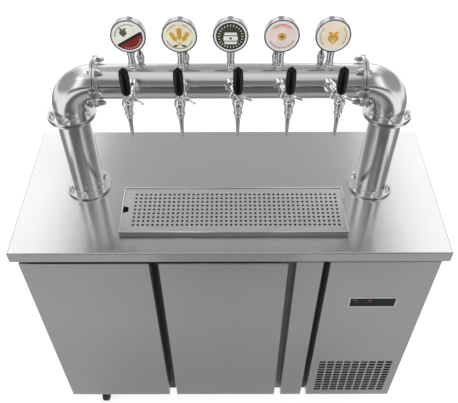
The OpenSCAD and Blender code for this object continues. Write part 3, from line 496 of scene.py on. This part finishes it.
def ticks(r, length, width, start, end, count):
    """Short strokes in a row along an arc, each pointing outwards, between two angles in degrees."""
    return [bar(length * (0.8 + 0.2 * (i % 3)), width, a, round_point(r, math.radians(a)))
            for i, a in enumerate(along_arc(start, end, count))]


def rays(r0, r1, count, width):
    """Pointed rays round a centre."""
    angles = [360 * i / count for i in range(count)]
    return [leaf(r1 - r0, width, a, round_point(r0, math.radians(a))) for a in angles]


def moved(shapes, u, v):
    return [[(a + u, b + v) for a, b in shape] for shape in shapes]


# Printed medallion faces

PRINT_COLOURS = {
    "cream": rgb(0.83, 0.82, 0.72), "white": rgb(0.80, 0.80, 0.77), "maroon": rgb(0.22, 0.022, 0.020),
    "dark": rgb(0.016, 0.018, 0.016), "olive": rgb(0.055, 0.058, 0.035), "green": rgb(0.10, 0.14, 0.10),
    "gold": rgb(0.62, 0.36, 0.045), "straw": rgb(0.80, 0.77, 0.58), "pink": rgb(0.80, 0.67, 0.62),
    "red": rgb(0.52, 0.13, 0.13), "peach": rgb(0.82, 0.71, 0.55), "brown": rgb(0.20, 0.12, 0.06),
}
prints = {name: moulded("print_" + name, color, 0.22, grain=1500, depth=0.00002, Coat_Weight=0.6,
                        Coat_Roughness=0.08, Emission_Color=color, Emission_Strength=0.3)
          for name, color in PRINT_COLOURS.items()}

# Each face is a list of layers from the bottom up, as pairs of colour and shapes in millimetres
FACE_R = MEDAL_FACE_R / MM
PICTURE_R = FACE_R - 4
FACES = [
    [("cream", [disc(PICTURE_R)]),
     ("maroon", [cap(PICTURE_R, -60, 5)]),
     ("dark", [bar(66, 7, 30, (-26.3, -23.4))]),
     ("green", moved(hop(24), -11, 10)),
     ("cream", beads(PICTURE_R - 5, 1.1, -105, -15, 9)),
     ("dark", ticks(PICTURE_R - 5.5, 2.6, 1.3, 62, 178, 24))],
    [("straw", [disc(PICTURE_R)]),
     ("olive", [band(PICTURE_R - 4, PICTURE_R - 2.6, 200, 340)]),
     ("gold", ear((0, -22), 46, 90) + ear((-1, -22), 40, 122) + ear((1, -22), 40, 58)),
     ("green", [leaf(16, 6, 200, (-3, -22)), leaf(16, 6, -20, (3, -22))]),
     ("olive", ticks(PICTURE_R - 5.5, 2.4, 1.2, 22, 74, 10)
      + ticks(PICTURE_R - 5.5, 2.4, 1.2, 106, 158, 10))],
    [("dark", [disc(PICTURE_R)]),
     ("olive", [disc(PICTURE_R - 3)]),
     ("white", [keg(34, 30, (0, -5))] + rays(25, 31, 24, 1.8)),
     ("olive", [bar(36, 2.2, 0, (-18, 2)), bar(36, 2.2, 0, (-18, -12)), disc(3, (0, -5), 20)])],
    [("pink", [disc(PICTURE_R)]),
     ("dark", ticks(PICTURE_R - 6.5, 3.4, 1.5, 205, 335, 19)),
     ("red", [band(PICTURE_R - 6, PICTURE_R - 4, 40, 140)] + ticks(PICTURE_R - 11, 3.2, 1.3, 52, 128, 14)),
     ("gold", moved(rays(2.5, 11, 10, 5), 0, -1)),
     ("brown", [disc(3.4, (0, -1), 24)])],
    [("peach", [disc(PICTURE_R)]),
     ("gold", moved(hop(34), 0, -6)),
     ("brown", ticks(PICTURE_R - 6, 2.8, 1.2, 140, 220, 15) + ticks(PICTURE_R - 6, 2.8, 1.2, -40, 40, 15)),
     ("straw", moved([bar(13, 1.2, 90 + turn, (0, -19)) for turn in (-28, 0, 28)], 0, 2))],
]
LAYER_T = 0.00012


def lay(mesh, outline, low, high, index):
    """A flat shape of one colour between two heights."""
    floor = [mesh.verts.new((u * MM, v * MM, low)) for u, v in outline]
    raised = bmesh.ops.extrude_face_region(mesh, geom=[mesh.faces.new(floor)])["geom"]
    top = [g for g in raised if isinstance(g, bmesh.types.BMVert)]
    bmesh.ops.translate(mesh, vec=(0, 0, high - low), verts=top)
    for face in {f for v in floor + top for f in v.link_faces}:
        face.material_index = index


def medallion_face(k, layers):
    """A pale rimmed disc in a medallion's recess, with its printed layers on top."""
    palette = list(dict.fromkeys(["white"] + [color for color, _ in layers]))
    mesh = bmesh.new()
    lay(mesh, disc(FACE_R), 0, MEDAL_FACE_T - LAYER_T, palette.index("white"))
    for i, (color, outlines) in enumerate(layers):
        for outline in outlines:
            lay(mesh, outline, MEDAL_FACE_T - 2 * LAYER_T, MEDAL_FACE_T + i * LAYER_T, palette.index(color))
    centre = Matrix.Translation((tap_x(k), MEDAL_Y, MEDAL_Z))
    upright = Matrix.Rotation(math.pi / 2 - MEDAL_TILT, 4, "X")
    seat = Matrix.Translation((0, 0, MEDAL_SEAT))
    return new_piece(f"medallion_face_{k + 1}", mesh, "cabinet", "medallion_print",
                     *(prints[color] for color in palette), place=centre @ upright @ seat)


for k in TAPS:
    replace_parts(medallion_face(k, FACES[k]), "medallion_faces")


# Controller window with its lit signs

CONTROL_AT = (0.426, 0.732)
WINDOW_W = 0.135
WINDOW_H = 0.042
WINDOW_Y = (-0.2419, -0.24138)
WINDOW_EDGE = 0.0002
SIGN_Y = (-0.24198, -0.24185)
SIGN_RISE = 0.003
SIGN_H = 0.011
SIGN_W = 0.006
STROKE = 0.0014
STROKE_EDGE = 0.00003
# Where each sign starts, and its lit strokes by the names of a seven-stroke figure's bars
SIGNS = [(-0.0585, "gfab"), (-0.0515, "dg"), (-0.0165, "abg"), (-0.0085, "fge")]


def slab(mesh, low, high, edge):
    """A box with bevelled edges, added to a mesh."""
    size = [h - l for l, h in zip(low, high)]
    middle = [(l + h) / 2 for l, h in zip(low, high)]
    shape = Matrix.Translation(middle) @ Matrix.Diagonal((*size, 1))
    made = bmesh.ops.create_cube(mesh, size=1, matrix=shape)["verts"]
    edges = list({e for v in made for e in v.link_edges})
    bmesh.ops.bevel(mesh, geom=edges, offset=edge, segments=2, affect="EDGES", profile=0.5)


def controller_window():
    mesh = bmesh.new()
    x, z = CONTROL_AT
    half_w, half_h = WINDOW_W / 2, WINDOW_H / 2
    slab(mesh, (x - half_w, WINDOW_Y[0], z - half_h), (x + half_w, WINDOW_Y[1], z + half_h), WINDOW_EDGE)
    new_piece("controller_window", mesh, "cabinet", "controller_black", materials["glass"])


def lit_signs():
    """Small seven-stroke signs that glow dimly on the window's upper left part."""
    mesh = bmesh.new()
    x, z = CONTROL_AT
    across = {"a": SIGN_H, "g": SIGN_H / 2, "d": 0}
    upright = {"f": (0, SIGN_H / 2), "e": (0, 0), "b": (SIGN_W, SIGN_H / 2), "c": (SIGN_W, 0)}
    for start, strokes in SIGNS:
        for stroke in strokes:
            if stroke in across:
                left, low = x + start, z + SIGN_RISE + across[stroke] - STROKE / 2
                width, height = SIGN_W, STROKE
            else:
                aside, up = upright[stroke]
                left, low = x + start + aside - STROKE / 2, z + SIGN_RISE + up
                width, height = STROKE, SIGN_H / 2
            slab(mesh, (left, SIGN_Y[0], low), (left + width, SIGN_Y[1], low + height), STROKE_EDGE)
    new_piece("controller_signs", mesh, "cabinet", "controller_black", materials["lit"])


controller_window()
lit_signs()


# Door gaskets: a folded bellows with a flat magnet strip towards the frame

# Distances in from the gasket's outer edge and heights over the door, in millimetres
BELLOWS = [(1, 0), (11, 0), (11, 1.0), (9.4, 1.8), (11.4, 2.6), (12, 3.4), (12, 4.5), (11.4, 5.0), (6.6, 5.0),
           (6.0, 4.6), (5.4, 5.0), (0.6, 5.0), (0, 4.5), (0, 3.4), (0.6, 2.6), (2.6, 1.8), (1, 1.0)]


def skin(mesh, rings, smooth=False):
    """Faces between rings of as many points, from each to the next and from the last to the first."""
    for ring, following in zip(rings, rings[1:] + rings[:1]):
        for j, point in enumerate(ring):
            n = (j + 1) % len(ring)
            mesh.faces.new((point, following[j], following[n], ring[n])).smooth = smooth


def door_gasket(side):
    node = f"door_{side}_gasket"
    low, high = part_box(node)
    mesh = bmesh.new()
    loops = []
    for across, up in BELLOWS:
        inset = across * MM
        left, right = low.x + inset, high.x - inset
        foot, head = low.z + inset, high.z - inset
        corners = [(left, foot), (right, foot), (right, head), (left, head)]
        loops.append([mesh.verts.new((x, low.y + up * MM, z)) for x, z in corners])
    skin(mesh, loops)
    piece = new_piece(node + "_bellows", mesh, f"door_{side}", "seal_rubber", materials["rubber"])
    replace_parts(piece, node)


for side in ("left", "right"):
    door_gasket(side)


# Weld beads where the pipes meet their flanges

BEAD_R = 0.0016
BEAD_SIDES = 8
BEAD_FLATNESS = 0.9
RIPPLES = 90
RIPPLE_SIDES = 4
RIPPLE_SWELL = 0.16


def weld_bead(mesh, place):
    """A rippled bead round a pipe that stands on the XY plane."""
    around = RIPPLES * RIPPLE_SIDES
    rings = []
    for i in range(around):
        a = 2 * math.pi * i / around
        swell = BEAD_R * (1 + RIPPLE_SWELL * math.cos(RIPPLES * a))
        ring = []
        for j in range(BEAD_SIDES):
            out, up = round_point(swell, 2 * math.pi * j / BEAD_SIDES)
            x, y = round_point(PIPE_R + out * BEAD_FLATNESS, a)
            ring.append(mesh.verts.new(place @ Vector((x, y, up))))
        rings.append(ring)
    skin(mesh, rings, smooth=True)


def flange_welds():
    mesh = bmesh.new()
    lying = Matrix.Rotation(math.pi / 2, 4, "Y")
    bridge_low, bridge_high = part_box("bridge")
    axis = middle_of(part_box("bridge"))

    def across(x):
        weld_bead(mesh, Matrix.Translation((x, axis.y, axis.z)) @ lying)

    for side in ("left", "right"):
        low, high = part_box(f"pillar_{side}")
        pillar = middle_of((low, high))
        for z in (low.z + FLANGE_T, high.z - FLANGE_T):
            weld_bead(mesh, Matrix.Translation((pillar.x, pillar.y, z)))
    across(bridge_low.x + FLANGE_T)
    across(bridge_high.x - FLANGE_T)
    for side in ("left", "right"):
        low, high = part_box(f"elbow_{side}")
        pillar = middle_of(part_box(f"pillar_{side}"))
        across(high.x - FLANGE_T if side == "left" else low.x + FLANGE_T)
        weld_bead(mesh, Matrix.Translation((pillar.x, axis.y, low.z + FLANGE_T)))
    new_piece("flange_welds", mesh, "cabinet", "polished_stainless", materials["weld"])


flange_welds()


# The rolled edge of the drip tray's rim

ROLL_R = 0.0022
ROLL_SIDES = 12
ROLL_FLATNESS = 0.8


def tray_roll():
    low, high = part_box("drip_tray")
    inset = TRAY_RIM / 2
    left, right = low.x + inset, high.x - inset
    front, back = low.y + inset, high.y - inset
    mesh = bmesh.new()
    rings = []
    for x, y, across, along in [(left, front, -1, -1), (right, front, 1, -1), (right, back, 1, 1),
                                (left, back, -1, 1)]:
        ring = []
        for j in range(ROLL_SIDES):
            out, up = round_point(ROLL_R, 2 * math.pi * j / ROLL_SIDES)
            ring.append(mesh.verts.new((x + across * out, y + along * out, high.z + up * ROLL_FLATNESS)))
        rings.append(ring)
    skin(mesh, rings, smooth=True)
    new_piece("tray_roll", mesh, "cabinet", "brushed_stainless", materials["pipe"])


tray_roll()


# Turned pieces: fuller grips and spouts, cast jackets round the taps, sleeves and nuts under the medallions

# Profiles are radii and heights in millimetres. Heights of the grip and its ferrule count from their feet,
# those of the jacket and the spout from the axis of the shank, those of the sleeve from the top of the
# bridge, and those of the gland nut from the bridge's axis.
GRIP_FORM = [(0, 0), (7.6, 0), (9.6, 0.8), (10.6, 2.6), (11.4, 8), (12.0, 16), (12.3, 26), (12.3, 38),
             (12.1, 48), (11.6, 56), (10.9, 62), (10.5, 64.6), (9.8, 65.8), (5.6, 68.6), (4.2, 69),
             (4.2, 70.6), (3.4, 71.6), (0, 71.8)]
FERRULE_FORM = [(3.6, 0), (6.0, 0), (7.6, 1.2), (7.8, 3.4), (3.6, 3.4)]
JACKET_FORM = [(5.5, -46.5), (7.8, -46.5), (8.3, -46), (8.3, -42.5), (9.6, -35.6), (10.7, -35), (11.1, -34.4),
               (11.1, -28.6), (10.7, -28), (9.9, -27.2), (11.2, -19), (12.3, -11), (12.6, -7.6), (13.8, -6.9),
               (14.2, -6.3), (14.2, 2.2), (13.8, 2.8), (12.4, 3.8), (10.6, 3.8), (10.6, -6), (5.5, -9)]
SPOUT_FORM = [(2.6, -105), (3.6, -105), (3.9, -104.4), (6.2, -46), (6.2, -44.8), (2.6, -44.8)]
SLEEVE_FORM = [(6.4, 4.5), (9.6, 4.5), (10.2, 5.2), (10.2, 12), (9.6, 12.8), (8.8, 14), (8.8, 34), (9.8, 35),
               (9.8, 40.4), (9.2, 41.2), (6.4, 41.2)]
GLAND_FORM = [(5, 43), (9.0, 43), (9.4, 43.6), (9.4, 49), (8.6, 49.8), (8.6, 51), (10.0, 51.8), (10.4, 52.4),
              (10.4, 60), (9.8, 61), (7.6, 64.5), (5, 64.5)]
# Points of the profiles between which a band is fluted
FLUTED = {(11.1, -34.4), (11.1, -28.6), (14.2, -6.3), (14.2, 2.2), (10.2, 5.2), (10.2, 12), (10.4, 52.4),
          (10.4, 60)}
FLUTES = 18
FLUTE_DEPTH = 0.7
TURNED_SIDES = 72
GRIP_RAISED = 0.003
SHARP = math.radians(32)


def turned_form(mesh, form, foot):
    """A turned shape over a foot: closed at the axis if its form starts at radius zero, else a ring."""
    rings = []
    for r, z in form:
        ring = []
        for i in range(TURNED_SIDES if r else 1):
            a = 2 * math.pi * i / TURNED_SIDES
            flute = FLUTE_DEPTH * (0.5 + 0.5 * math.cos(FLUTES * a)) if (r, z) in FLUTED else 0
            x, y = round_point((r - flute) * MM, a)
            ring.append(mesh.verts.new(foot + Vector((x, y, z * MM))))
        rings.append(ring)
    pairs = list(zip(rings, rings[1:]))
    if form[0][0] > 0:
        pairs.append((rings[-1], rings[0]))
    for low, high in pairs:
        for i in range(TURNED_SIDES):
            j = (i + 1) % TURNED_SIDES
            corners = [low[i % len(low)], low[j % len(low)], high[j % len(high)], high[i % len(high)]]
            mesh.faces.new(list(dict.fromkeys(corners))).smooth = True


def turned_piece(name, form, feet, body, slot, material):
    mesh = bmesh.new()
    for foot in feet:
        turned_form(mesh, form, foot)
    return new_piece(name, mesh, body, slot, materials[material], sharp=SHARP)


def dressed_taps():
    axes = []
    for k in TAPS:
        node = f"tap_grip_{k + 1}"
        body = f"tap_handle_{k + 1}"
        foot = middle_of(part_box(node))
        foot.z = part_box(node)[0].z
        raised = foot + Vector((0, 0, GRIP_RAISED))
        axes.append(foot - Vector((0, 0, GRIP_OVER_TAP)))
        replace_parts(turned_piece(f"{node}_full", GRIP_FORM, [raised], body, "grip_black", "grip"), node)
        turned_piece(f"grip_ferrule_{k + 1}", FERRULE_FORM, [foot], body, "tap_chrome", "chrome")
    turned_piece("tap_jackets", JACKET_FORM, axes, "cabinet", "tap_chrome", "chrome")
    spouts = turned_piece("tap_spouts", SPOUT_FORM, axes, "cabinet", "nozzle_steel", "nozzle")
    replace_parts(spouts, "tap_nozzles")


def dressed_stands():
    axis = middle_of(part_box("bridge"))
    posts = [Vector((tap_x(k), axis.y, axis.z + PIPE_R)) for k in TAPS]
    glands = [Vector((tap_x(k, GLAND_PITCH), axis.y + GLAND_BACK, axis.z)) for k in TAPS]
    turned_piece("stand_sleeves", SLEEVE_FORM, posts, "cabinet", "tap_chrome", "chrome")
    turned_piece("gland_nuts", GLAND_FORM, glands, "cabinet", "tap_chrome", "chrome")


dressed_taps()
dressed_stands()


# Stage: floor, light and camera

FLOOR_HALF = 40
FLOOR_LIFT = 0.65


def flat_object(name, corners, material):
    mesh = bpy.data.meshes.new(name)
    mesh.from_pydata(corners, [], [(0, 1, 2, 3)])
    mesh.materials.append(material)
    sheet = bpy.data.objects.new(name, mesh)
    scene.collection.objects.link(sheet)
    return sheet


def level_corners(left, right, front, back, z):
    return [(left, front, z), (right, front, z), (right, back, z), (left, back, z)]


def studio_floor():
    """A wide pale floor that keeps the shadow and is lifted to white where it is seen or mirrored."""
    material, tree, surface = new_material("floor_paper", Roughness=0.9, Base_Color=grey(0.80),
                                           Emission_Color=grey(1))
    paths = tree.nodes.new("ShaderNodeLightPath")
    seen = joined(tree, "ADD", paths.outputs["Is Camera Ray"], paths.outputs["Is Glossy Ray"])
    seen = joined(tree, "ADD", seen, paths.outputs["Is Transmission Ray"])
    tree.links.new(spread(tree, seen, 0, FLOOR_LIFT, 0, 1), surface.inputs["Emission Strength"])
    flat_object("floor", level_corners(-FLOOR_HALF, FLOOR_HALF, -FLOOR_HALF, FLOOR_HALF, 0), material)


# Levels of the room's light, and what each zone adds to it or takes from it
EVEN_LIGHT = 0.85
END_LIGHT = 0.79
WING_LIGHT = 0.80
DIM_BEHIND = 0.30
DIM_FLANKS = 0.40
DIM_BEFORE = 0.61
DIM_OVERHEAD = 0.45
DIM_CROWN = 0.12
# Where a zone starts and where it is full, along one part of a unit direction or a ratio of two
OVER_FLOOR = (0.10, 0.30)
TO_BACK = (-0.05, 0.25)
TO_FRONT = (0.05, -0.25)
MIDDLE_SLOPE = (0.40, 0.29)
END_SLOPE = (0.29, 0.40)
END_OUT = (0.54, 0.44)
FLANK_OUT = (0.60, 0.70)
FLANK_TOP = (0.90, 0.70)
BEFORE_OUT = (0.50, 0.36)
BEFORE_FOOT = (0.05, 0.16)
BEFORE_TOP = (0.86, 0.66)
WING_IN = (0.42, 0.52)
WING_OUT = (0.68, 0.62)
WING_TOP = (0.90, 0.70)
OVERHEAD_BACK = (0.15, -0.15)
OVERHEAD_FOOT = (0.66, 0.82)
CROWN_FRONT = (0.40, 0.50)
CROWN_SLOPE = (0.98, 0.78)


def studio_world():
    """Even pale light, brighter past both ends, dimmer behind, beside, in front and overhead.

    The camera itself sees white.
    """
    world = bpy.data.worlds.new("studio")
    scene.world = world
    world.use_nodes = True
    tree = world.node_tree
    background = tree.nodes["Background"]
    background.inputs["Color"].default_value = grey(1)
    x, y, z = parts_of(tree, "Generated")
    aside = tree.nodes.new("ShaderNodeMath")
    aside.operation = "ABSOLUTE"
    tree.links.new(x, aside.inputs[0])
    out = aside.outputs["Value"]
    side_slope = joined(tree, "DIVIDE", out, z)
    back_slope = joined(tree, "DIVIDE", y, z)

    def step(value, edges):
        node = tree.nodes.new("ShaderNodeMapRange")
        node.interpolation_type = "SMOOTHSTEP"
        node.inputs["From Min"].default_value, node.inputs["From Max"].default_value = edges
        tree.links.new(value, node.inputs["Value"])
        return node.outputs["Result"]

    def zone(amount, *masks):
        whole = masks[0]
        for mask in masks[1:]:
            whole = joined(tree, "MULTIPLY", whole, mask)
        return joined(tree, "MULTIPLY", whole, amount)

    high, back, front = step(z, OVER_FLOOR), step(y, TO_BACK), step(y, TO_FRONT)
    zones = [
        zone(-DIM_BEHIND, step(side_slope, MIDDLE_SLOPE), back, high),
        zone(END_LIGHT, step(side_slope, END_SLOPE), step(out, END_OUT), back, high),
        zone(-DIM_FLANKS, step(out, FLANK_OUT), step(z, FLANK_TOP)),
        zone(-DIM_BEFORE, front, step(out, BEFORE_OUT), step(z, BEFORE_FOOT), step(z, BEFORE_TOP)),
        zone(WING_LIGHT, front, step(out, WING_IN), step(out, WING_OUT), step(z, WING_TOP)),
        zone(-DIM_OVERHEAD, step(y, OVERHEAD_BACK), step(z, OVERHEAD_FOOT)),
        zone(-DIM_CROWN, step(y, CROWN_FRONT), step(back_slope, CROWN_SLOPE)),
    ]
    level = zones[0]
    for change in zones[1:]:
        level = joined(tree, "ADD", level, change)
    level = joined(tree, "ADD", level, EVEN_LIGHT)
    seen = tree.nodes.new("ShaderNodeLightPath").outputs["Is Camera Ray"]
    tree.links.new(joined(tree, "MAXIMUM", level, seen), background.inputs["Strength"])


LAMP_AT = (-0.6, -1.2, 4.2)
LAMP_AIM = (0, 0, 0.9)
LAMP_W = 4.2
LAMP_D = 2.4
LAMP_WATTS = 18


def top_light():
    lamp = bpy.data.lights.new("top_light", "AREA")
    lamp.shape = "RECTANGLE"
    lamp.size = LAMP_W
    lamp.size_y = LAMP_D
    lamp.energy = LAMP_WATTS
    holder = bpy.data.objects.new("top_light", lamp)
    holder.location = LAMP_AT
    holder.rotation_euler = (Vector(LAMP_AIM) - Vector(LAMP_AT)).to_track_quat("-Z", "Y").to_euler()
    scene.collection.objects.link(holder)


def card(name, tone, corners):
    """A studio card that only reflections see."""
    material, _, _ = new_material(name, Roughness=1.0, Base_Color=grey(tone))
    panel = flat_object(name, corners, material)
    panel.visible_camera = False
    panel.visible_diffuse = False
    panel.visible_shadow = False


# Rows of cards on the floor before the doors: where each row starts along Y, and where the last one ends
NEAR_Y = -0.27
MID_Y = -0.6
EDGE_Y = -0.95
FAR_Y = -1.2
LAST_Y = -6
CARD_HALF = 1.35
FAR_HALF = 1.4
CARD_Z = 0.004
# A narrower card that lies on the edge row, and an upright card at the end of the far row
CENTRE_FRONT_HALF = 0.4
CENTRE_BACK_HALF = 0.3
CENTRE_BACK_Y = -0.97
CENTRE_Z = 0.006
BACKDROP_HALF = 6
BACKDROP_H = 1.6
# Cards beside the cabinet
SIDE_X = (0.9, 4)
SIDE_Y = (-0.4, 3)


def studio_cards():
    card("front_card", 0.06, [(-BACKDROP_HALF, LAST_Y, 0), (BACKDROP_HALF, LAST_Y, 0),
                              (BACKDROP_HALF, LAST_Y, BACKDROP_H), (-BACKDROP_HALF, LAST_Y, BACKDROP_H)])
    card("near_card", 0.66, level_corners(-CARD_HALF, CARD_HALF, MID_Y, NEAR_Y, CARD_Z))
    card("mid_card", 0.76, level_corners(-CARD_HALF, CARD_HALF, EDGE_Y, MID_Y, CARD_Z))
    card("edge_card", 0.74, level_corners(-CARD_HALF, CARD_HALF, FAR_Y, EDGE_Y, CARD_Z))
    card("centre_card", 0.45, [(-CENTRE_FRONT_HALF, FAR_Y, CENTRE_Z), (CENTRE_FRONT_HALF, FAR_Y, CENTRE_Z),
                               (CENTRE_BACK_HALF, CENTRE_BACK_Y, CENTRE_Z),
                               (-CENTRE_BACK_HALF, CENTRE_BACK_Y, CENTRE_Z)])
    card("far_card", 0.20, level_corners(-FAR_HALF, FAR_HALF, LAST_Y, FAR_Y, CARD_Z))
    for side in (-1, 1):
        card("side_card", 0.42, level_corners(side * SIDE_X[0], side * SIDE_X[1], *SIDE_Y, CARD_Z))


def photo_camera():
    lens = bpy.data.cameras.new("camera")
    lens.sensor_width = SENSOR_MM
    lens.lens = FOCAL_PX / IMAGE_W * SENSOR_MM
    camera = bpy.data.objects.new("camera", lens)
    camera.location = CAMERA_AT
    camera.rotation_euler = (math.pi / 2 - CAMERA_PITCH, CAMERA_ROLL, 0)
    scene.collection.objects.link(camera)
    scene.camera = camera


studio_floor()
studio_world()
top_light()
studio_cards()
photo_camera()

scene.view_settings.view_transform = "Standard"
